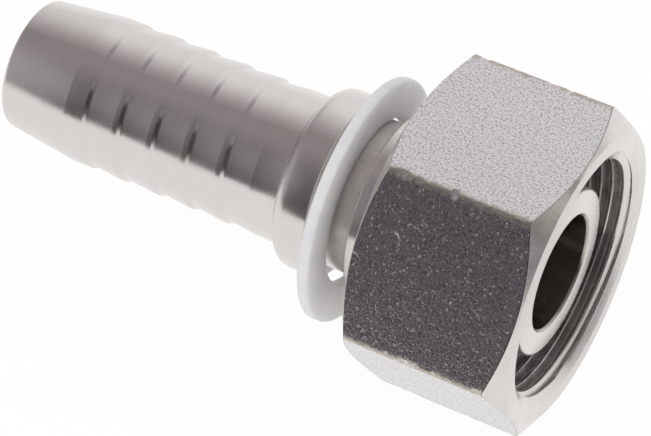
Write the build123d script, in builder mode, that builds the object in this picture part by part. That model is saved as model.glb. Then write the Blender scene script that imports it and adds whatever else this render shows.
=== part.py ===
from build123d import *
from math import radians, sqrt, tan
import os

os.makedirs("parts", exist_ok=True)

# Straight press fitting for a one inch hose, with a loose union nut for a 30 mm tube of the heavy series.
# The part lies on one flat of its nut: X runs along the fitting towards the mouth of the nut, Z is up,
# and the origin is under the middle of the whole length, in the plane that the nut lies on.
# Lengths are millimetres. Stations are counted from the end face of the sealing cone back to the hose end.

# Thread of the union nut: every other diameter follows from it, step by step inwards
thread_diameter = 42.0
thread_pitch = 2.0
mouth_margin = 1.0
mouth_angle = 120.0
thread_relief_margin = 0.25
thread_relief_width = 2.5

# Rest of the union nut
nut_wall = 4.0
nut_length = 29.0
nut_overhang = 3.0
nut_corner_radius = 0.4
nut_face_inset = 0.4
nut_chamfer_angle = 30.0
nut_edge_chamfer = 0.5
nut_guide_clearance = 0.4
seat_angle = 90.0
seat_margin = 0.7
seat_gap = 0.3

# Shoulder that the nut pulls on, and the guide that it slides on
shoulder_thread_clearance = 1.4175
shoulder_height = 3.0
shoulder_width = 3.1
shoulder_edge_chamfer = 0.5
guide_overrun = 5.1
guide_edge_chamfer = 0.5

# Neck and collar
neck_depth = 2.5
neck_width = 6.9
neck_root_radius = 0.8
collar_height = 2.8
collar_width = 6.9
collar_rear_radius = 2.5
collar_rear_land = 0.3
collar_front_radius = 0.6
collar_root_radius = 0.4

# Hose tail
tail_length = 53.1
tail_wall = 2.6
tail_tip_wall = 1.05
tail_tip_radius = 0.8
tail_bore_chamfer = 0.2
rib_depth = 0.5
rib_pitch = 6.5
rib_crest_width = 0.9
rib_back_length = 0.6
rib_root_radius = 0.4
lead_in_length = 13.0
first_crest_width = 3.4

# Sealing cone, its bore and the groove of the rubber ring
cone_inset = 4.4
cone_angle = 24.0
cone_length = 13.0
cone_edge_radius = 0.5
cone_tip_wall = 4.35
cone_bore_chamfer = 0.4
bore_step_length = 0.5
groove_station = 1.9
groove_depth = 1.2
groove_side_clearance = 0.3
o_ring_section = 2.4
o_ring_seat_clearance = 0.05

# Soft retaining ring
ring_band = 6.7
ring_neck_play = 1.3
ring_collar_gap = 1.6
ring_thickness = 2.0
ring_edge_radius = 0.6
ring_hang_clearance = 0.05

# Diameters, from the thread inwards
nut_across_flats = thread_diameter + 2 * nut_wall
thread_core_diameter = thread_diameter - 1.0825 * thread_pitch
shoulder_diameter = thread_core_diameter - 2 * shoulder_thread_clearance
guide_diameter = shoulder_diameter - 2 * shoulder_height
neck_diameter = guide_diameter - 2 * neck_depth
collar_diameter = guide_diameter
tail_crest_diameter = collar_diameter - 2 * collar_height
tail_bore_diameter = tail_crest_diameter - 2 * tail_wall
tail_tip_diameter = tail_bore_diameter + 2 * tail_tip_wall
cone_tip_diameter = shoulder_diameter - 2 * cone_inset
cone_base_diameter = cone_tip_diameter + 2 * cone_length * tan(radians(cone_angle / 2))
cone_bore_diameter = cone_tip_diameter - 2 * cone_tip_wall
groove_floor_diameter = cone_tip_diameter - 2 * groove_depth

# Stations: the guide starts behind the nut, and the neck, the collar and the tail follow it
guide_station = nut_length - nut_overhang + guide_overrun
collar_front_station = guide_station + neck_width
collar_station = collar_front_station + collar_width
stem_length = collar_station + tail_length

# Places in the part's own frame
axis_height = nut_across_flats / 2
overall_length = stem_length + nut_overhang
face_x = overall_length / 2 - nut_overhang
tip_x = face_x - stem_length
nut_front_x = face_x + nut_overhang
nut_back_x = nut_front_x - nut_length

turning_axis = Axis((0, 0, axis_height), (1, 0, 0))
half_section = Plane(origin=(0, 0, axis_height), x_dir=(1, 0, 0), z_dir=(0, -1, 0))


def at(station):
    """X of a station that is counted back from the end face of the sealing cone."""
    return face_x - station


def turned_edges(piece, x, diameter):
    """The round edges of a turned piece at one X and one diameter."""
    return piece.edges().filter_by(
        lambda edge: edge.geom_type == GeomType.CIRCLE
        and abs(edge.arc_center.X - x) < 0.01
        and abs(2 * edge.radius - diameter) < 0.01
    )


# As many ribs as the tail has room for, before the plain land that ends at the collar
first_rib_x = tip_x + lead_in_length + first_crest_width
rib_count = int((tail_length - lead_in_length - first_crest_width) / rib_pitch)
rib_roots = [first_rib_x + rib_back_length + rib * rib_pitch for rib in range(rib_count)]


def rib_outline():
    """Saw-tooth ribs: each rises slowly towards the nut and drops back steeply at its crest."""
    crest = tail_crest_diameter / 2
    points = [(tip_x + lead_in_length, crest)]
    for root_x in rib_roots:
        points.append((root_x - rib_back_length, crest))
        points.append((root_x, crest - rib_depth))
        points.append((root_x - rib_back_length + rib_pitch - rib_crest_width, crest))
    return points


# The rubber ring is stretched on the floor of its groove.
groove_width = o_ring_section + 2 * groove_side_clearance
groove_centre_x = at(groove_station + groove_width / 2)
o_ring_middle_radius = groove_floor_diameter / 2 + o_ring_seat_clearance + o_ring_section / 2

# The seat of the nut faces the stem's shoulder, with the running gap between them.
# The nut is pushed on from the hose end, so its back bore passes the collar as well as the guide.
back_bore_diameter = collar_diameter + 2 * nut_guide_clearance
seat_slope = tan(radians(seat_angle / 2))
shoulder_top_x = at(cone_length + shoulder_width)
shoulder_foot_x = shoulder_top_x - shoulder_height / seat_slope
seat_front_x = shoulder_foot_x - seat_gap + nut_guide_clearance / seat_slope

with BuildPart() as hose_stem:
    with BuildSketch(half_section):
        with BuildLine():
            outline = [
                (tip_x, 0),
                (tip_x, tail_tip_diameter / 2),
                *rib_outline(),
                (at(collar_station), tail_crest_diameter / 2),
                (at(collar_station), collar_diameter / 2),
                (at(collar_front_station), collar_diameter / 2),
                (at(collar_front_station), neck_diameter / 2),
                (at(guide_station), neck_diameter / 2),
                (at(guide_station), guide_diameter / 2),
                (shoulder_foot_x, guide_diameter / 2),
                (shoulder_top_x, shoulder_diameter / 2),
                (at(cone_length), shoulder_diameter / 2),
                (at(cone_length), cone_base_diameter / 2),
                (face_x, cone_tip_diameter / 2),
                (face_x, 0),
            ]
            Polyline(*outline, close=True)
        make_face()
    revolve(axis=turning_axis)

    # Groove of the rubber ring
    with BuildSketch(half_section):
        with Locations((groove_centre_x, groove_floor_diameter / 2)):
            Rectangle(groove_width, cone_base_diameter, align=(Align.CENTER, Align.MIN))
    revolve(axis=turning_axis, mode=Mode.SUBTRACT)

    # Bore: drilled wider from the hose end, up to the guide
    with BuildSketch(half_section):
        with BuildLine():
            Polyline(
                (tip_x, 0),
                (tip_x, tail_bore_diameter / 2),
                (at(guide_station) - bore_step_length, tail_bore_diameter / 2),
                (at(guide_station), cone_bore_diameter / 2),
                (face_x, cone_bore_diameter / 2),
                (face_x, 0),
                close=True,
            )
        make_face()
    revolve(axis=turning_axis, mode=Mode.SUBTRACT)

    # Broken and rounded edges
    rear_radius = min(collar_rear_radius, collar_height - collar_rear_land)
    chamfer(turned_edges(hose_stem.part, tip_x, tail_bore_diameter), tail_bore_chamfer)
    chamfer(turned_edges(hose_stem.part, face_x, cone_bore_diameter), cone_bore_chamfer)
    fillet(turned_edges(hose_stem.part, tip_x, tail_tip_diameter), tail_tip_radius)
    for root_x in rib_roots:
        fillet(turned_edges(hose_stem.part, root_x, tail_crest_diameter - 2 * rib_depth), rib_root_radius)
    fillet(turned_edges(hose_stem.part, at(collar_station), collar_diameter), rear_radius)
    fillet(turned_edges(hose_stem.part, at(collar_station), tail_crest_diameter), collar_root_radius)
    fillet(turned_edges(hose_stem.part, at(collar_front_station), collar_diameter), collar_front_radius)
    fillet(turned_edges(hose_stem.part, at(collar_front_station), neck_diameter), neck_root_radius)
    fillet(turned_edges(hose_stem.part, at(guide_station), neck_diameter), neck_root_radius)
    chamfer(turned_edges(hose_stem.part, at(guide_station), guide_diameter), guide_edge_chamfer)
    chamfer(turned_edges(hose_stem.part, at(cone_length), shoulder_diameter), shoulder_edge_chamfer)
    fillet(turned_edges(hose_stem.part, face_x, cone_tip_diameter), cone_edge_radius)
hose_stem.part.label = "hose_stem"
export_step(hose_stem.part, "parts/hose_stem.step")

# The nut is a hexagon whose two ends are turned to a 30 degree chamfer.
nut_across_corners = 2 * nut_across_flats / sqrt(3)
nut_chamfer_diameter = nut_across_flats - 2 * nut_face_inset
nut_chamfer_drop = (nut_across_corners - nut_chamfer_diameter) / 2 * tan(radians(nut_chamfer_angle))
mouth_diameter = thread_diameter + 2 * mouth_margin
mouth_depth = (mouth_diameter - thread_core_diameter) / 2 / tan(radians(mouth_angle / 2))
seat_mouth_diameter = shoulder_diameter + 2 * seat_margin
seat_mouth_x = seat_front_x + (seat_mouth_diameter - back_bore_diameter) / 2 / seat_slope
thread_relief_radius = thread_diameter / 2 + thread_relief_margin
nut_plane = Plane(origin=(nut_back_x, 0, axis_height), x_dir=(0, 1, 0), z_dir=(1, 0, 0))

with BuildPart() as union_nut:
    with BuildSketch(nut_plane) as hexagon:
        RegularPolygon(nut_across_flats / 2, 6, major_radius=False)
        fillet(hexagon.vertices(), nut_corner_radius)
    extrude(amount=nut_length)

    # Turned ends
    with BuildSketch(half_section):
        with BuildLine():
            Polyline(
                (nut_back_x, 0),
                (nut_back_x, nut_chamfer_diameter / 2),
                (nut_back_x + nut_chamfer_drop, nut_across_corners / 2),
                (nut_front_x - nut_chamfer_drop, nut_across_corners / 2),
                (nut_front_x, nut_chamfer_diameter / 2),
                (nut_front_x, 0),
                close=True,
            )
        make_face()
    revolve(axis=turning_axis, mode=Mode.INTERSECT)

    # Mouth, thread core, thread relief, seat and back bore
    with BuildSketch(half_section):
        with BuildLine():
            Polyline(
                (nut_back_x, 0),
                (nut_back_x, back_bore_diameter / 2),
                (seat_front_x, back_bore_diameter / 2),
                (seat_mouth_x, seat_mouth_diameter / 2),
                (seat_mouth_x, thread_relief_radius),
                (seat_mouth_x + thread_relief_width, thread_relief_radius),
                (seat_mouth_x + thread_relief_width, thread_core_diameter / 2),
                (nut_front_x - mouth_depth, thread_core_diameter / 2),
                (nut_front_x, mouth_diameter / 2),
                (nut_front_x, 0),
                close=True,
            )
        make_face()
    revolve(axis=turning_axis, mode=Mode.SUBTRACT)
    chamfer(turned_edges(union_nut.part, nut_back_x, back_bore_diameter), nut_edge_chamfer)
union_nut.part.label = "union_nut"
export_step(union_nut.part, "parts/union_nut.step")

# The soft ring hangs on the neck: the top of its hole rests there, so its centre lies below the axis.
ring_hole_diameter = neck_diameter + 2 * ring_neck_play
ring_drop = ring_neck_play - ring_hang_clearance
ring_x = at(collar_front_station - ring_collar_gap - ring_thickness / 2)
ring_plane = Plane(origin=(ring_x, 0, axis_height - ring_drop), x_dir=(0, 1, 0), z_dir=(1, 0, 0))

with BuildPart() as retaining_ring:
    with BuildSketch(ring_plane):
        Circle(ring_hole_diameter / 2 + ring_band)
        Circle(ring_hole_diameter / 2, mode=Mode.SUBTRACT)
    extrude(amount=ring_thickness / 2, both=True)
    fillet(retaining_ring.edges().filter_by(GeomType.CIRCLE), ring_edge_radius)
retaining_ring.part.label = "retaining_ring"
export_step(retaining_ring.part, "parts/retaining_ring.step")

with BuildPart() as o_ring:
    with BuildSketch(half_section):
        with Locations((groove_centre_x, o_ring_middle_radius)):
            Circle(o_ring_section / 2)
    revolve(axis=turning_axis)
o_ring.part.label = "o_ring"
export_step(o_ring.part, "parts/o_ring.step")
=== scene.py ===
import bmesh
import bpy
import math
import random
from mathutils import Matrix, Vector, noise


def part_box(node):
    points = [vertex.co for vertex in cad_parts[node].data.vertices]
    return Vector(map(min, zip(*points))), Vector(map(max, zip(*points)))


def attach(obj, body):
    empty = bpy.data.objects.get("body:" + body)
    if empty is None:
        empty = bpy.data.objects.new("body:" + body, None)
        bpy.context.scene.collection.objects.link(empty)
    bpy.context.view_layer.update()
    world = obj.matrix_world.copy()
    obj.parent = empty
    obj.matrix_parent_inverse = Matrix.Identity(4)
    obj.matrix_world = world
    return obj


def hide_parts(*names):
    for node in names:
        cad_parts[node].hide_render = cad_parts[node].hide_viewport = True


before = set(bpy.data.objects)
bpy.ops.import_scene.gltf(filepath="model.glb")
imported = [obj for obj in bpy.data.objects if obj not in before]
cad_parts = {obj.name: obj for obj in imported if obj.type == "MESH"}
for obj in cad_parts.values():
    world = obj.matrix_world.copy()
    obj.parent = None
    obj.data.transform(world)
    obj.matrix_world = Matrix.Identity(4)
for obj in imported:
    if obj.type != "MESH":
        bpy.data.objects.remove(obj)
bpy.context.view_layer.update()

MM = 0.001
X_AXIS = Vector((1, 0, 0))

# Places along the fitting, in millimetres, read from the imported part
STEM_LOW, STEM_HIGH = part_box("hose_stem")
NUT_LOW, NUT_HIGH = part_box("union_nut")
RING_LOW, RING_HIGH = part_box("retaining_ring")
SEAL_LOW, SEAL_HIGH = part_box("o_ring")
AXIS_HEIGHT = (NUT_LOW.z + NUT_HIGH.z) / 2 / MM
TIP_X = STEM_LOW.x / MM
FACE_X = STEM_HIGH.x / MM
NUT_BACK_X = NUT_LOW.x / MM
NUT_FRONT_X = NUT_HIGH.x / MM
RING_BACK_X = RING_LOW.x / MM
RING_FRONT_X = RING_HIGH.x / MM
RING_RADIUS = (RING_HIGH.z - RING_LOW.z) / 2 / MM
RING_HEIGHT = (RING_HIGH.z + RING_LOW.z) / 2 / MM
RING_HOLE_RADIUS = 14.3
RING_ROUNDING = 0.5
SEAL_X = (SEAL_LOW.x + SEAL_HIGH.x) / 2 / MM
SEAL_RADIUS = (SEAL_HIGH.z - SEAL_LOW.z) / 2 / MM
SEAL_SECTION_RADIUS = (SEAL_HIGH.x - SEAL_LOW.x) / 2 / MM

# Radii of the stem
BORE_RADIUS = 9.75
BORE_CHAMFER = 0.4
TAIL_BORE_RADIUS = 10.1
TIP_BORE_CHAMFER = 0.2
TAIL_TIP_RADIUS = 11.15
CREST_RADIUS = 12.7
CREST_DROP = 0.5
NECK_RADIUS = 13.0
COLLAR_RADIUS = 15.5
SHOULDER_RADIUS = 18.5
CONE_TIP_RADIUS = 14.1
CONE_SLOPE = math.tan(math.radians(12))
GROOVE_RADIUS = 12.9

# Stations of the stem, measured back from its front face
GROOVE_START, GROOVE_END = 1.9, 4.9
CONE_LENGTH = 13.0
SHOULDER_END = 16.1
GUIDE_START = 19.1
GUIDE_END = 31.1
BORE_STEP_END = 31.6
COLLAR_START = 38.0
COLLAR_END = 44.9

# The ribs of the tail, measured from its tip
LEAD_LENGTH = 13.0
RIB_COUNT = 5
RIB_PITCH = 6.5
FIRST_CREST_END = 16.4
STEP_LENGTH = 0.6
RAMP_END = 5.6

# Radii and lengths of the nut
FLAT_RADIUS = 25.0
CORNER_RADIUS = FLAT_RADIUS / math.cos(math.radians(30))
CHAMFER_RADIUS = 24.6
CHAMFER_SLOPE = math.tan(math.radians(30))
MOUTH_RADIUS = 22.0
MOUTH_SLOPE = math.tan(math.radians(55))
THREAD_ROOT = 21.0
THREAD_CREST = 19.9175
THREAD_PITCH = 2.0
BACK_BORE_RADIUS = 15.9
BACK_BORE_CHAMFER = 0.5
BLANK_CHAMFER_LENGTH = 0.25
SEAT_RADIUS = 19.2
RELIEF_RADIUS = 21.25
SEAT_START, RELIEF_START, RELIEF_END = 7.0, 10.3, 12.8

LATHE_STEPS = 240
HEX_STEPS = 600
FLAT_CUTS = 116


# Meshes

def finish_mesh(bm, name, body, materials, sharp_angle=30):
    """Turns a bmesh in millimetres into a piece at the origin that rides on a body."""
    bmesh.ops.scale(bm, vec=(MM, MM, MM), verts=bm.verts)
    bmesh.ops.recalc_face_normals(bm, faces=bm.faces)
    for face in bm.faces:
        face.smooth = True
    mesh = bpy.data.meshes.new(name)
    bm.to_mesh(mesh)
    bm.free()
    mesh.set_sharp_from_angle(angle=math.radians(sharp_angle))
    for material in materials:
        mesh.materials.append(material)
    piece = bpy.data.objects.new(name, mesh)
    bpy.context.scene.collection.objects.link(piece)
    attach(piece, body)
    return piece


def closed_profile(bm, corners, height):
    """A closed outline in the half-plane above the axis. Each corner is (x, radius, rounding)."""
    verts = [bm.verts.new((x, 0, height + radius)) for x, radius, rounding in corners]
    for first, second in zip(verts, verts[1:] + verts[:1]):
        bm.edges.new((first, second))
    for vert, (x, radius, rounding) in zip(verts, corners):
        if rounding:
            before, after = [(edge.other_vert(vert).co - vert.co).normalized() for edge in vert.link_edges]
            half_turn = (math.pi - before.angle(after)) / 2
            bmesh.ops.bevel(bm, geom=[vert], offset=rounding * math.tan(half_turn), offset_type="OFFSET",
                            segments=4, profile=0.5, affect="VERTICES", material=-1)


def spin_round(bm, height, steps):
    """Turns everything in the bmesh once round the axis and closes the seam."""
    bmesh.ops.spin(bm, geom=bm.verts[:] + bm.edges[:], cent=(0, 0, height), axis=X_AXIS,
                   angle=math.tau, steps=steps, use_merge=True, use_duplicate=False)
    bmesh.ops.remove_doubles(bm, verts=bm.verts, dist=1e-4)


def lathe(bm, corners, height, steps=LATHE_STEPS):
    closed_profile(bm, corners, height)
    spin_round(bm, height, steps)


def from_axis(vert):
    """The way from the axis to a vertex, square to the axis."""
    return Vector((0, vert.co.y, vert.co.z - AXIS_HEIGHT))


# Node trees

class Bench:
    """A node tree with short calls for the nodes that the finishes share."""

    def __init__(self, tree):
        self.nodes, self.links = tree.nodes, tree.links
        self.nodes.clear()

    def feed(self, socket, value):
        """Links another node's output to a socket, or sets the socket to a plain value."""
        if isinstance(value, bpy.types.NodeSocket):
            self.links.new(value, socket)
        else:
            socket.default_value = value

    def math(self, operation, *values):
        node = self.nodes.new("ShaderNodeMath")
        node.operation = operation
        for socket, value in zip(node.inputs, values):
            self.feed(socket, value)
        return node.outputs[0]

    def vector(self, operation, *values):
        node = self.nodes.new("ShaderNodeVectorMath")
        node.operation = operation
        for socket, value in zip(node.inputs, values):
            self.feed(socket, value)
        return node.outputs["Value" if operation in ("DOT_PRODUCT", "LENGTH") else "Vector"]

    def split(self, vector):
        node = self.nodes.new("ShaderNodeSeparateXYZ")
        self.feed(node.inputs[0], vector)
        return node.outputs

    def noise(self, vector, scale, detail=2.0, roughness=0.5):
        node = self.nodes.new("ShaderNodeTexNoise")
        self.feed(node.inputs["Vector"], vector)
        node.inputs["Scale"].default_value = scale
        node.inputs["Detail"].default_value = detail
        node.inputs["Roughness"].default_value = roughness
        return node.outputs["Fac"]

    def spread(self, value, from_low, from_high, to_low=0.0, to_high=1.0, smooth=False):
        """Maps one range of numbers onto another, held at both ends."""
        node = self.nodes.new("ShaderNodeMapRange")
        node.interpolation_type = "SMOOTHSTEP" if smooth else "LINEAR"
        self.feed(node.inputs["Value"], value)
        for socket, number in zip(("From Min", "From Max", "To Min", "To Max"),
                                  (from_low, from_high, to_low, to_high)):
            self.feed(node.inputs[socket], number)
        return node.outputs["Result"]

    def colour(self, share, first, second):
        """Mixes two colours by a share from 0 to 1."""
        node = self.nodes.new("ShaderNodeMix")
        node.data_type = "RGBA"
        for socket, value in zip((node.inputs[0], node.inputs[6], node.inputs[7]), (share, first, second)):
            self.feed(socket, (*value, 1) if isinstance(value, tuple) else value)
        return node.outputs[2]

    def bump(self, height, strength, distance, under=None):
        node = self.nodes.new("ShaderNodeBump")
        self.feed(node.inputs["Height"], height)
        node.inputs["Strength"].default_value = strength
        node.inputs["Distance"].default_value = distance
        if under is not None:
            self.links.new(under, node.inputs["Normal"])
        return node.outputs["Normal"]

    def ramp(self, value, stops):
        """A colour for each value from 0 to 1. Each stop is (place, colour)."""
        node = self.nodes.new("ShaderNodeValToRGB")
        elements = node.color_ramp.elements
        for element, (place, colour) in zip(elements, (stops[0], stops[-1])):
            element.position = place
            element.color = (*colour, 1)
        for place, colour in stops[1:-1]:
            elements.new(place).color = (*colour, 1)
        self.feed(node.inputs["Fac"], value)
        return node.outputs["Color"]

    def millimetres(self, scale=(1, 1, 1)):
        """Object coordinates in millimetres, from a point on the axis."""
        place = self.nodes.new("ShaderNodeTexCoord")
        mapping = self.nodes.new("ShaderNodeMapping")
        mapping.inputs["Scale"].default_value = [along / MM for along in scale]
        mapping.inputs["Location"].default_value = (0, 0, -AXIS_HEIGHT * scale[2])
        self.links.new(place.outputs["Object"], mapping.inputs["Vector"])
        return mapping.outputs["Vector"]

    def distance_from_axis(self):
        return self.vector("LENGTH", self.millimetres((0, 1, 1)))

    def across_turning_lines(self):
        """Along the piece on its sides and outwards on its end faces, square to the turning lines."""
        round_axis = self.vector("CROSS_PRODUCT", X_AXIS, self.millimetres())
        in_room = self.nodes.new("ShaderNodeVectorTransform")
        in_room.vector_type = "VECTOR"
        in_room.convert_from, in_room.convert_to = "OBJECT", "WORLD"
        self.links.new(round_axis, in_room.inputs[0])
        surface = self.nodes.new("ShaderNodeNewGeometry")
        across = self.vector("CROSS_PRODUCT", surface.outputs["Normal"], in_room.outputs[0])
        return self.vector("NORMALIZE", across)


def new_material(name):
    material = bpy.data.materials.new(name)
    material.use_nodes = True
    bench = Bench(material.node_tree)
    shader = bench.nodes.new("ShaderNodeBsdfPrincipled")
    output = bench.nodes.new("ShaderNodeOutputMaterial")
    bench.links.new(shader.outputs["BSDF"], output.inputs["Surface"])
    return material, bench, shader


# Finishes

# Painted shade: a darker brown for the inside of the bore, where little light reaches
BORE_PAINTED_SHADE = (0.36, 0.31, 0.27)


def turned_steel(name, dark, light, smoothest, roughest, line_height):
    """Stainless steel off the lathe: fine lines round the axis and soft uneven patches."""
    material, bench, shader = new_material(name)
    shader.inputs["Metallic"].default_value = 1.0
    shader.inputs["Anisotropic"].default_value = 0.88
    lines = bench.noise(bench.millimetres((5.0, 0.03, 0.03)), 1.0, 3.0, 0.6)
    patches = bench.noise(bench.millimetres((0.22, 0.3, 0.3)), 1.0, 3.0, 0.55)
    tone = bench.math("ADD", bench.math("MULTIPLY", lines, 0.4), bench.math("MULTIPLY", patches, 0.6))
    outside = bench.colour(bench.spread(tone, 0.35, 0.65), dark, light)
    # Painted shade: the inside of the bore is darkened towards this brown
    inside = bench.spread(bench.distance_from_axis(), TAIL_BORE_RADIUS + 0.2, BORE_RADIUS + 0.1)
    bench.feed(shader.inputs["Base Color"], bench.colour(inside, outside, BORE_PAINTED_SHADE))
    bench.feed(shader.inputs["Roughness"], bench.spread(patches, 0.3, 0.7, smoothest, roughest))
    bench.feed(shader.inputs["Normal"], bench.bump(lines, 0.2, line_height))
    bench.feed(shader.inputs["Tangent"], bench.across_turning_lines())
    return material


def rolled_steel():
    """The flats of the nut: bright bar, closely pitted, worn brown along the long edges."""
    material, bench, shader = new_material("rolled_stainless")
    shader.inputs["Metallic"].default_value = 1.0
    point = bench.millimetres()
    along = bench.split(point)[0]
    radius = bench.distance_from_axis()
    grain = bench.noise(point, 2.6, 3.0, 0.6)
    coarse = bench.noise(point, 1.2, 2.0, 0.5)
    pits = bench.spread(bench.noise(point, 1.9, 1.0, 0.5), 0.6, 0.78, smooth=True)
    cloud = bench.spread(bench.noise(point, 0.11, 1.0, 0.5), 0.35, 0.65)

    bare = bench.colour(cloud, (0.745, 0.73, 0.745), (0.77, 0.735, 0.715))
    ragged = bench.math("ADD", radius, bench.math("MULTIPLY", coarse, 0.9))
    worn = bench.spread(ragged, CORNER_RADIUS - 0.15, CORNER_RADIUS + 0.35, smooth=True)
    rubbed = bench.colour(worn, bare, (0.56, 0.51, 0.43))
    # Painted shade: a thin dark line along the arcs where the flats meet the front chamfer
    chamfer_drop = bench.math("MULTIPLY", bench.math("SUBTRACT", radius, CHAMFER_RADIUS), CHAMFER_SLOPE)
    from_chamfer = bench.math("SUBTRACT", bench.math("SUBTRACT", NUT_FRONT_X, chamfer_drop), along)
    arc_shade_line = bench.spread(bench.math("ADD", from_chamfer, bench.math("MULTIPLY", grain, 0.25)), 0.42, 0.18)
    arc_shaded = bench.colour(arc_shade_line, rubbed, (0.26, 0.22, 0.19))
    hollow = bench.spread(grain, 0.53, 0.36)
    bench.feed(shader.inputs["Base Color"], bench.colour(hollow, arc_shaded, (0.42, 0.40, 0.41)))

    rough = bench.math("MULTIPLY", bench.math("MAXIMUM", pits, worn), 0.28)
    bench.feed(shader.inputs["Roughness"], bench.math("ADD", rough, 0.2))
    fine = bench.bump(grain, 1.0, 0.00006)
    bench.feed(shader.inputs["Normal"], bench.bump(pits, 0.8, -0.00002, fine))
    return material


def milky_plastic():
    """The soft white ring, which light soaks into."""
    material, bench, shader = new_material("milky_plastic")
    shader.inputs["Roughness"].default_value = 0.38
    shader.inputs["IOR"].default_value = 1.5
    shader.inputs["Subsurface Weight"].default_value = 0.8
    shader.inputs["Subsurface Radius"].default_value = (1.0, 0.95, 0.9)
    shader.inputs["Subsurface Scale"].default_value = 0.008
    point = bench.millimetres()
    cloud = bench.noise(point, 0.2, 2.0, 0.5)
    scuffs = bench.noise(point, 1.6, 3.0, 0.6)
    tone = bench.spread(cloud, 0.35, 0.65)
    bench.feed(shader.inputs["Base Color"], bench.colour(tone, (0.68, 0.675, 0.70), (0.75, 0.74, 0.735)))
    bench.feed(shader.inputs["Normal"], bench.bump(scuffs, 0.25, 0.00004))
    return material


def seal_rubber():
    material, bench, shader = new_material("seal_rubber")
    shader.inputs["Roughness"].default_value = 0.5
    grain = bench.noise(bench.millimetres(), 4.0, 3.0, 0.6)
    black = bench.colour(grain, (0.018, 0.018, 0.019), (0.035, 0.035, 0.036))
    bench.feed(shader.inputs["Base Color"], black)
    bench.feed(shader.inputs["Normal"], bench.bump(grain, 0.2, 0.00002))
    return material


TURNED = turned_steel("turned_stainless", (0.695, 0.66, 0.64), (0.735, 0.695, 0.67), 0.21, 0.29, 0.000012)
TURNED_NUT = turned_steel("turned_nut_stainless", (0.66, 0.63, 0.61), (0.75, 0.72, 0.69), 0.2, 0.3, 0.00003)
ROLLED = rolled_steel()
PLASTIC = milky_plastic()
RUBBER = seal_rubber()


# The stem

def stem_x(station):
    return FACE_X - station


def cone_radius(station):
    return CONE_TIP_RADIUS + station * CONE_SLOPE


def tail_corners():
    """The lead-in and the ribs, each a step down towards the nut and a long ramp up to the next crest."""
    corners = [
        (TIP_X, TAIL_BORE_RADIUS + TIP_BORE_CHAMFER, 0),
        (TIP_X, TAIL_TIP_RADIUS, 0.8),
        (TIP_X + LEAD_LENGTH, CREST_RADIUS, 0.3),
    ]
    for rib in range(RIB_COUNT):
        crest_end = TIP_X + FIRST_CREST_END + rib * RIB_PITCH
        corners.append((crest_end, CREST_RADIUS, 0.08))
        corners.append((crest_end + STEP_LENGTH, CREST_RADIUS - CREST_DROP, 0.25))
        corners.append((crest_end + RAMP_END, CREST_RADIUS, 0.1))
    return corners


def hose_stem():
    """One turned piece: ribbed tail, collar, neck, guide, shoulder and sealing cone."""
    corners = tail_corners() + [
        (stem_x(COLLAR_END), CREST_RADIUS, 0.4),
        (stem_x(COLLAR_END), COLLAR_RADIUS, 2.4),
        (stem_x(COLLAR_START), COLLAR_RADIUS, 0.6),
        (stem_x(COLLAR_START), NECK_RADIUS, 0.8),
        (stem_x(GUIDE_END), NECK_RADIUS, 0.8),
        (stem_x(GUIDE_END), COLLAR_RADIUS, 0.5),
        (stem_x(GUIDE_START), COLLAR_RADIUS, 0.3),
        (stem_x(SHOULDER_END), SHOULDER_RADIUS, 0.3),
        (stem_x(CONE_LENGTH), SHOULDER_RADIUS, 0.5),
        (stem_x(CONE_LENGTH), cone_radius(CONE_LENGTH), 0.2),
        (stem_x(GROOVE_END), cone_radius(GROOVE_END), 0.15),
        (stem_x(GROOVE_END), GROOVE_RADIUS, 0.2),
        (stem_x(GROOVE_START), GROOVE_RADIUS, 0.2),
        (stem_x(GROOVE_START), cone_radius(GROOVE_START), 0.15),
        (FACE_X, CONE_TIP_RADIUS, 0.5),
        (FACE_X, BORE_RADIUS + BORE_CHAMFER, 0.1),
        (stem_x(BORE_CHAMFER), BORE_RADIUS, 0),
        (stem_x(GUIDE_END), BORE_RADIUS, 0),
        (stem_x(BORE_STEP_END), TAIL_BORE_RADIUS, 0),
        (TIP_X + TIP_BORE_CHAMFER, TAIL_BORE_RADIUS, 0),
    ]
    bm = bmesh.new()
    lathe(bm, corners, AXIS_HEIGHT)
    piece = finish_mesh(bm, "stem_dressed", "stem", [TURNED])
    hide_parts("hose_stem")
    return piece


# The nut. Flat 0 faces up, flat 1 faces the front and up, and so on round the axis.
# Across a flat, 0 is its middle and the way to the next flat is positive.

SIXTH = math.radians(60)

# Marks on the flats: flat, x, across, half length, half width, depth, turn in degrees from the axis
PLACED_MARKS = [
    (0, 27.65, -5.72, 0.45, 0.25, 0.05, 60),
    (0, 27.27, -3.74, 0.30, 0.22, 0.03, 40),
    (0, 27.45, -2.60, 0.35, 0.22, 0.03, 80),
    (0, 27.37, 1.49, 0.50, 0.25, 0.04, 95),
    (0, 27.61, 3.60, 0.60, 0.25, 0.05, 100),
    (0, 28.14, 5.29, 0.90, 0.28, 0.06, 110),
    (0, 28.74, 7.43, 0.70, 0.26, 0.05, 100),
    (0, 28.98, 8.53, 0.35, 0.25, 0.04, 30),
    (0, 43.38, 11.18, 0.40, 0.30, 0.05, 20),
    (0, 21.90, 0.50, 0.60, 0.30, 0.08, 90),
    (0, 22.70, 7.80, 0.70, 0.30, 0.08, 90),
    (1, 23.84, -0.73, 0.70, 0.24, 0.06, 70),
    (1, 29.45, -12.82, 0.70, 0.26, 0.07, 20),
    (1, 27.76, -12.67, 0.35, 0.24, 0.05, 60),
    (1, 40.87, -1.87, 0.60, 0.24, 0.06, 10),
    (1, 42.14, -5.73, 0.35, 0.24, 0.06, 70),
    (1, 43.94, 1.62, 0.45, 0.24, 0.06, 90),
    (1, 45.89, 4.22, 0.30, 0.24, 0.05, 40),
    (1, 27.99, 11.46, 0.50, 0.24, 0.05, 120),
    (1, 34.37, 12.30, 0.60, 0.24, 0.05, 10),
]
NICKS_PER_FLAT = 16
KNOCKS_PER_EDGE = 8

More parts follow.
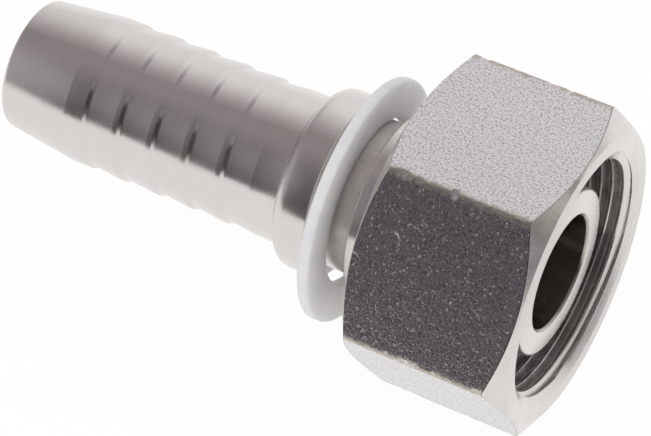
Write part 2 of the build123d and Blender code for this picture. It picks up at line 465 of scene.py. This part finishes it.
# A half-moon tool mark on flat 1 and a long scratch across flat 0
SCAR_X, SCAR_ACROSS = 27.3, -3.3
SCAR_HALF_LENGTH, SCAR_HALF_WIDTH = 1.3, 1.7
SCAR_DEPTH = 0.12
SCRATCH_X = 45.3
SCRATCH_START, SCRATCH_END = -7.6, 8.9
SCRATCH_WIDTH, SCRATCH_DEPTH = 0.22, 0.018

# How far the rolled bar rises and falls, in long waves and in short ripples
WAVE_HEIGHT, RIPPLE_HEIGHT = 0.014, 0.004


def flat_of(across):
    """The flat that a direction from the axis points to, and its angle from that flat's middle."""
    angle = math.atan2(-across.y, across.z)
    number = round(angle / SIXTH)
    return number % 6, angle - number * SIXTH


def flat_normal(number):
    return Vector((0, -math.sin(number * SIXTH), math.cos(number * SIXTH)))


def corner_bites():
    """Short knocks along each long edge: corner, x, half length and depth."""
    chance = random.Random(11)
    length = NUT_FRONT_X - NUT_BACK_X
    return [(corner, NUT_BACK_X + chance.uniform(0.05, 0.95) * length, chance.uniform(0.4, 1.3),
             chance.uniform(0.06, 0.26)) for corner in range(6) for knock in range(KNOCKS_PER_EDGE)]


def worn_corner(x, corner, bites):
    """How far from the axis the metal reaches at a long edge, which is worn and knocked."""
    depth = 0.13 + 0.07 * noise.noise(Vector((x * 0.45, corner * 5.0, 1.0)))
    depth += 0.05 * noise.noise(Vector((x * 1.7, corner * 5.0, 9.0)))
    for bitten, middle, half_length, bite in bites:
        if bitten == corner:
            depth += bite * max(0.0, 1 - ((x - middle) / half_length) ** 2)
    return CORNER_RADIUS - max(0.05, depth)


def nut_corners():
    """The section of the round blank that the hexagon is pushed out from."""
    return [
        (NUT_FRONT_X - (MOUTH_RADIUS - THREAD_ROOT) / MOUTH_SLOPE, THREAD_ROOT, 0),
        (NUT_FRONT_X, MOUTH_RADIUS, 0.15),
        (NUT_FRONT_X, CHAMFER_RADIUS, 0),
        (NUT_FRONT_X - BLANK_CHAMFER_LENGTH, FLAT_RADIUS, 0),
        (NUT_BACK_X + BLANK_CHAMFER_LENGTH, FLAT_RADIUS, 0),
        (NUT_BACK_X, CHAMFER_RADIUS, 0),
        (NUT_BACK_X, BACK_BORE_RADIUS + BACK_BORE_CHAMFER, 0),
        (NUT_BACK_X + BACK_BORE_CHAMFER, BACK_BORE_RADIUS, 0),
        (NUT_BACK_X + SEAT_START, BACK_BORE_RADIUS, 0),
        (NUT_BACK_X + RELIEF_START, SEAT_RADIUS, 0),
        (NUT_BACK_X + RELIEF_START, RELIEF_RADIUS, 0),
        (NUT_BACK_X + RELIEF_END, RELIEF_RADIUS, 0),
        (NUT_BACK_X + RELIEF_END, THREAD_ROOT, 0),
    ]


def push_out_hexagon(bm):
    """Moves the blank's outside out to six flats, whose ends meet the turned chamfers in arcs."""
    bites = corner_bites()
    blank_back, blank_front = NUT_BACK_X + BLANK_CHAMFER_LENGTH, NUT_FRONT_X - BLANK_CHAMFER_LENGTH
    outside = []
    for vert in bm.verts:
        across = from_axis(vert)
        if across.length < FLAT_RADIUS - 0.01:
            continue
        number, turn = flat_of(across)
        corner = (number if turn > 0 else number - 1) % 6
        radius = min(FLAT_RADIUS / math.cos(turn), worn_corner(vert.co.x, corner, bites))
        drop = (radius - CHAMFER_RADIUS) * CHAMFER_SLOPE
        share = (vert.co.x - blank_back) / (blank_front - blank_back)
        x = NUT_BACK_X + drop + share * (NUT_FRONT_X - NUT_BACK_X - 2 * drop)
        place = across.normalized() * radius
        vert.co = (x, place.y, place.z + AXIS_HEIGHT)
        outside.append((vert, number, radius * math.sin(turn)))
    return outside


def add_waves(outside):
    """The slight waves and ripples of the rolled bar."""
    for vert, number, across in outside:
        wave = WAVE_HEIGHT * noise.noise(Vector((vert.co.x * 0.22, across * 0.22, number * 9.0)))
        ripple = RIPPLE_HEIGHT * noise.noise(Vector((vert.co.x * 0.9, across * 0.9, number * 9.0 + 4)))
        vert.co += flat_normal(number) * (wave + ripple)


def scattered_nicks():
    """Small nicks at random places, in the same form as the placed marks."""
    chance = random.Random(5)
    return [(number, chance.uniform(NUT_BACK_X + 1, NUT_FRONT_X - 1), chance.uniform(-14, 14),
             chance.uniform(0.25, 0.6), chance.uniform(0.2, 0.28), chance.uniform(0.012, 0.035),
             chance.uniform(0, 180)) for number in range(6) for nick in range(NICKS_PER_FLAT)]


def press_nicks(outside):
    """Presses each nick into its flat: a hollow with a low raised rim."""
    squares = {}
    for vert, number, across in outside:
        squares.setdefault((number, int(vert.co.x), math.floor(across)), []).append((vert, across))
    for number, x, across, half_length, half_width, depth, turn in PLACED_MARKS + scattered_nicks():
        reach = 2 * half_length
        cosine, sine = math.cos(math.radians(turn)), math.sin(math.radians(turn))
        for column in range(int(x - reach), int(x + reach) + 1):
            for line in range(math.floor(across - reach), math.floor(across + reach) + 1):
                for vert, vert_across in squares.get((number, column, line), ()):
                    along = (vert.co.x - x) * cosine + (vert_across - across) * sine
                    aside = (vert_across - across) * cosine - (vert.co.x - x) * sine
                    away = math.hypot(along / half_length, aside / half_width)
                    if away < 2:
                        hollow = max(0.0, 1 - away ** 2)
                        rim = 0.3 * max(0.0, 1 - (2 * away - 2.6) ** 2)
                        vert.co += flat_normal(number) * depth * (rim - hollow)


def press_scar(outside):
    """The half-moon mark: a curved groove that fades towards its lower side."""
    for vert, number, across in outside:
        if number == 1:
            along = (vert.co.x - SCAR_X) / SCAR_HALF_LENGTH
            aside = (across - SCAR_ACROSS) / SCAR_HALF_WIDTH
            away = math.hypot(along, aside)
            if 0.2 < away < 1.35:
                upper_side = max(0.0, 0.7 * (along - aside) / away)
                groove = math.exp(-(((away - 0.85) / 0.22) ** 2))
                vert.co -= flat_normal(number) * SCAR_DEPTH * upper_side * groove


def press_scratch(outside):
    """The long scratch, which wanders a little."""
    for vert, number, across in outside:
        if number == 0 and SCRATCH_START < across < SCRATCH_END:
            away = vert.co.x - SCRATCH_X - 0.12 * noise.noise(Vector((across * 0.5, 0, 3)))
            vert.co -= flat_normal(number) * SCRATCH_DEPTH * math.exp(-((away / SCRATCH_WIDTH) ** 2))


def nut_body():
    """The hexagon nut with its turned chamfers, countersink, relief and seat."""
    bm = bmesh.new()
    closed_profile(bm, nut_corners(), AXIS_HEIGHT)
    flat_line = [edge for edge in bm.edges
                 if all(vert.co.z > AXIS_HEIGHT + FLAT_RADIUS - 0.01 for vert in edge.verts)]
    bmesh.ops.subdivide_edges(bm, edges=flat_line, cuts=FLAT_CUTS)
    spin_round(bm, AXIS_HEIGHT, HEX_STEPS)
    outside = push_out_hexagon(bm)
    on_flats = {vert for vert, number, across in outside}
    for face in bm.faces:
        face.material_index = 1 if all(vert in on_flats for vert in face.verts) else 0
    add_waves(outside)
    press_nicks(outside)
    press_scar(outside)
    press_scratch(outside)
    piece = finish_mesh(bm, "nut_dressed", "nut", [TURNED_NUT, ROLLED], sharp_angle=22)
    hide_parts("union_nut")
    return piece


THREAD_START_X = NUT_BACK_X + RELIEF_END + 0.8
THREAD_STEPS_PER_TURN = 120


def thread_section():
    """One side of the ridge and its mirror image, with a small flat crest: (x, radius)."""
    flank = math.tan(math.radians(60))
    half_base = THREAD_PITCH / 2 - 0.125
    side = [
        (half_base - 0.2, THREAD_ROOT + 0.3),
        (half_base, THREAD_ROOT + 0.03),
        (half_base - 0.2, THREAD_ROOT - 0.2 * flank),
        (half_base - 0.4, THREAD_ROOT - 0.4 * flank),
        (0.30, THREAD_CREST + 0.05),
        (0.20, THREAD_CREST),
    ]
    return side + [(-x, radius) for x, radius in reversed(side)]


def nut_thread():
    """The thread's ridge, wound right-handed out to the face and cut off by the countersink."""
    turns = (NUT_FRONT_X + THREAD_PITCH / 2 - THREAD_START_X) / THREAD_PITCH
    steps = round(turns * THREAD_STEPS_PER_TURN)
    bm = bmesh.new()
    verts = [bm.verts.new((THREAD_START_X + x, 0, AXIS_HEIGHT + radius)) for x, radius in thread_section()]
    first_end = bm.faces.new(verts)
    bmesh.ops.spin(bm, geom=verts + list(first_end.edges) + [first_end],
                   cent=(0, 0, AXIS_HEIGHT), axis=X_AXIS,
                   dvec=(THREAD_PITCH / THREAD_STEPS_PER_TURN, 0, 0),
                   angle=math.tau * steps / THREAD_STEPS_PER_TURN, steps=steps, use_duplicate=False)
    for vert in bm.verts:
        across = from_axis(vert)
        run = (vert.co.x - THREAD_START_X) / (THREAD_PITCH / 2)
        fade = min(1.0, max(0.0, run))
        radius = across.length
        if radius < THREAD_ROOT:
            radius = THREAD_ROOT + 0.04 - (THREAD_ROOT + 0.04 - radius) * fade
        x = min(vert.co.x, NUT_FRONT_X - 0.03)
        countersink = MOUTH_RADIUS - (NUT_FRONT_X - x) * MOUTH_SLOPE
        buried = 0.05 if countersink > THREAD_ROOT else 0.0
        radius = max(radius, countersink + buried)
        across = across.normalized() * radius
        vert.co = (x, across.y, across.z + AXIS_HEIGHT)
    return finish_mesh(bm, "nut_thread", "nut", [TURNED_NUT], sharp_angle=35)


# The ring and the seal

def retaining_ring():
    corners = [
        (RING_BACK_X, RING_HOLE_RADIUS, RING_ROUNDING),
        (RING_FRONT_X, RING_HOLE_RADIUS, RING_ROUNDING),
        (RING_FRONT_X, RING_RADIUS, RING_ROUNDING),
        (RING_BACK_X, RING_RADIUS, RING_ROUNDING),
    ]
    bm = bmesh.new()
    lathe(bm, corners, RING_HEIGHT)
    piece = finish_mesh(bm, "ring_dressed", "stem", [PLASTIC], sharp_angle=60)
    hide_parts("retaining_ring")
    return piece


def o_ring():
    bm = bmesh.new()
    circle = bmesh.ops.create_circle(bm, segments=24, radius=SEAL_SECTION_RADIUS, cap_ends=False,
                                     matrix=Matrix.Rotation(math.radians(90), 4, "X"))
    bmesh.ops.translate(bm, verts=circle["verts"],
                        vec=(SEAL_X, 0, AXIS_HEIGHT + SEAL_RADIUS - SEAL_SECTION_RADIUS))
    spin_round(bm, AXIS_HEIGHT, LATHE_STEPS)
    piece = finish_mesh(bm, "seal_dressed", "stem", [RUBBER], sharp_angle=60)
    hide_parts("o_ring")
    return piece


hose_stem()
nut_body()
nut_thread()
retaining_ring()
o_ring()


# The studio, in metres

FLOOR_LEFT, FLOOR_RIGHT = -1.2, 0.18
FLOOR_NEAR, FLOOR_FAR = -0.25, 1.25
FLOOR_GLOW = 0.95


def seen_directly(bench):
    """1 for what the camera, a reflection or a clear part shows, and 0 for soft light."""
    rays = bench.nodes.new("ShaderNodeLightPath")
    mirrored = bench.math("MAXIMUM", rays.outputs["Is Glossy Ray"], rays.outputs["Is Transmission Ray"])
    return bench.math("MAXIMUM", rays.outputs["Is Camera Ray"], mirrored)


def studio_floor():
    """White paper that keeps a faint shadow and ends a little way in front of the part."""
    bm = bmesh.new()
    bmesh.ops.create_grid(bm, x_segments=1, y_segments=1, size=0.5)
    bmesh.ops.scale(bm, vec=(FLOOR_RIGHT - FLOOR_LEFT, FLOOR_FAR - FLOOR_NEAR, 1), verts=bm.verts)
    bmesh.ops.translate(bm, vec=((FLOOR_LEFT + FLOOR_RIGHT) / 2, (FLOOR_NEAR + FLOOR_FAR) / 2, 0),
                        verts=bm.verts)
    mesh = bpy.data.meshes.new("floor")
    bm.to_mesh(mesh)
    bm.free()
    floor = bpy.data.objects.new("floor", mesh)
    bpy.context.scene.collection.objects.link(floor)
    material, bench, shader = new_material("white_floor")
    shader.inputs["Base Color"].default_value = (0.95, 0.95, 0.95, 1)
    shader.inputs["Roughness"].default_value = 0.9
    glow = bench.nodes.new("ShaderNodeEmission")
    glow.inputs["Color"].default_value = (1, 1, 1, 1)
    mix = bench.nodes.new("ShaderNodeMixShader")
    bench.feed(mix.inputs[0], bench.math("MULTIPLY", seen_directly(bench), FLOOR_GLOW))
    bench.links.new(shader.outputs["BSDF"], mix.inputs[1])
    bench.links.new(glow.outputs["Emission"], mix.inputs[2])
    output = next(node for node in bench.nodes if node.type == "OUTPUT_MATERIAL")
    bench.links.new(mix.outputs["Shader"], output.inputs["Surface"])
    mesh.materials.append(material)


# How bright the room is from its front wall, by the camera, to its white back wall:
# the cosine from the brightest direction, the level, and the tint
BRIGHTEST = Vector((0, math.cos(math.radians(20)), math.sin(math.radians(20))))
ROOM_LEVELS = [
    (-0.80, 0.09, (1.0, 0.90, 0.99)),
    (-0.50, 0.16, (1.0, 0.90, 0.98)),
    (-0.25, 0.20, (1.0, 0.90, 0.96)),
    (0.00, 0.29, (1.0, 0.92, 0.95)),
    (0.16, 0.33, (1.0, 0.92, 0.94)),
    (0.40, 0.31, (1.0, 0.92, 0.94)),
    (0.60, 0.48, (1.0, 0.95, 0.97)),
    (0.72, 0.64, (1.0, 0.97, 0.99)),
    (0.82, 0.80, (1.0, 0.98, 1.0)),
    (0.90, 0.97, (0.99, 0.99, 1.0)),
]

# Softer and darker places in the room: direction, degrees to its full and to its faded edge, level
SIDE_WINDOW = (Vector((-0.85, -0.45, 0.25)), 10, 35, 0.50)
DIM_RIGHT_WALL = (Vector((0.85, 0.10, 0.55)), 20, 38, 0.30)
BLACK_DRAPE = (Vector((0.85, -0.50, 0.10)), 15, 35, 0.03)
DESK_LAMP = (Vector((0.873, -0.32, 0.372)), 3, 6, 1.0)

# Shapes along the right-hand horizon, by degrees from straight right towards the back wall
HORIZON_SHAPES = [
    (0.0, (0.06, 0.06, 0.06)),
    (8.0, (0.07, 0.07, 0.07)),
    (10.0, (0.80, 0.75, 0.88)),
    (12.0, (0.06, 0.06, 0.06)),
    (17.0, (0.20, 0.18, 0.16)),
    (22.0, (0.26, 0.23, 0.20)),
    (25.0, (0.88, 0.84, 0.77)),
    (29.0, (0.88, 0.84, 0.77)),
    (32.0, (0.08, 0.10, 0.09)),
    (36.0, (0.08, 0.10, 0.09)),
    (39.0, (0.90, 0.87, 0.82)),
    (45.0, (0.90, 0.88, 0.85)),
]

# How high those shapes reach, as the sine of the elevation, and the strength of the soft light
HORIZON_TOP, HORIZON_BOTTOM = 0.0, math.sin(math.radians(-22))
SOFT_LIGHT = 0.7


def studio_room():
    """A room with a white back wall and a dim side where the camera stands, and even soft light."""
    world = bpy.data.worlds.new("studio")
    bpy.context.scene.world = world
    world.use_nodes = True
    bench = Bench(world.node_tree)
    output = bench.nodes.new("ShaderNodeOutputWorld")
    place = bench.nodes.new("ShaderNodeTexCoord")
    direction = place.outputs["Generated"]

    towards = bench.vector("DOT_PRODUCT", direction, BRIGHTEST)
    stops = [((cosine + 1) / 2, tuple(level * part for part in tint)) for cosine, level, tint in ROOM_LEVELS]
    walls = bench.ramp(bench.spread(towards, -1, 1), stops)
    for centre, full, faded, level in (SIDE_WINDOW, DIM_RIGHT_WALL, BLACK_DRAPE, DESK_LAMP):
        near = bench.vector("DOT_PRODUCT", direction, centre.normalized())
        share = bench.spread(near, math.cos(math.radians(faded)), math.cos(math.radians(full)), smooth=True)
        walls = bench.colour(share, walls, (level, level * 0.95, level))

    x, y, z = bench.split(direction)
    turn = bench.math("DEGREES", bench.math("ARCTAN2", y, x))
    last = HORIZON_SHAPES[-1][0]
    shapes = bench.ramp(bench.math("DIVIDE", turn, last), [(at / last, tone) for at, tone in HORIZON_SHAPES])
    below = bench.spread(z, HORIZON_TOP + 0.04, HORIZON_TOP - 0.02)
    above = bench.spread(z, HORIZON_BOTTOM - 0.04, HORIZON_BOTTOM)
    rightwards = bench.spread(bench.math("ABSOLUTE", bench.math("SUBTRACT", turn, last / 2)),
                              last / 2 + 3, last / 2)
    share = bench.math("MULTIPLY", bench.math("MULTIPLY", below, above), rightwards)
    walls = bench.colour(share, walls, shapes)

    rays = bench.nodes.new("ShaderNodeLightPath")
    seen = bench.nodes.new("ShaderNodeBackground")
    bench.feed(seen.inputs["Color"], bench.colour(rays.outputs["Is Camera Ray"], walls, (1.0, 1.0, 1.0)))
    soft = bench.nodes.new("ShaderNodeBackground")
    soft.inputs["Color"].default_value = (1, 1, 1, 1)
    soft.inputs["Strength"].default_value = SOFT_LIGHT
    mix = bench.nodes.new("ShaderNodeMixShader")
    bench.feed(mix.inputs[0], seen_directly(bench))
    bench.links.new(soft.outputs["Background"], mix.inputs[1])
    bench.links.new(seen.outputs["Background"], mix.inputs[2])
    bench.links.new(mix.outputs["Shader"], output.inputs["Surface"])


def soft_lamp(name, place, aim, width, height, power):
    light = bpy.data.lights.new(name, "AREA")
    light.shape = "RECTANGLE"
    light.size, light.size_y = width, height
    light.energy = power
    lamp = bpy.data.objects.new(name, light)
    bpy.context.scene.collection.objects.link(lamp)
    lamp.location = place
    lamp.rotation_euler = (Vector(aim) - Vector(place)).to_track_quat("-Z", "Y").to_euler()
    lamp.visible_glossy = False


def studio_camera():
    azimuth, elevation, roll = math.radians(28.84), math.radians(46.63), math.radians(0.21)
    aim = Vector((0.00055, 0.00787, 0.00623))
    distance = 0.586
    back = Vector((math.sin(azimuth) * math.cos(elevation), -math.cos(azimuth) * math.cos(elevation),
                   math.sin(elevation)))
    camera_data = bpy.data.cameras.new("studio_camera")
    camera_data.sensor_width = 36
    camera_data.lens = 192.85
    camera_data.clip_start, camera_data.clip_end = 0.01, 20
    camera = bpy.data.objects.new("studio_camera", camera_data)
    bpy.context.scene.collection.objects.link(camera)
    camera.location = aim + back * distance
    camera.rotation_euler = ((-back).to_track_quat("-Z", "Y").to_matrix()
                             @ Matrix.Rotation(roll, 3, "Z")).to_euler()
    bpy.context.scene.camera = camera


studio_floor()
studio_room()
soft_lamp("overhead_softbox", (-0.1, 0.2, 0.8), (0, 0, 0.02), 0.7, 0.5, 1.1)
soft_lamp("side_softbox", (0.35, -0.45, 0.25), (0, 0, 0.02), 0.4, 0.3, 1.3)
studio_camera()
bpy.context.scene.view_settings.view_transform = "Standard"
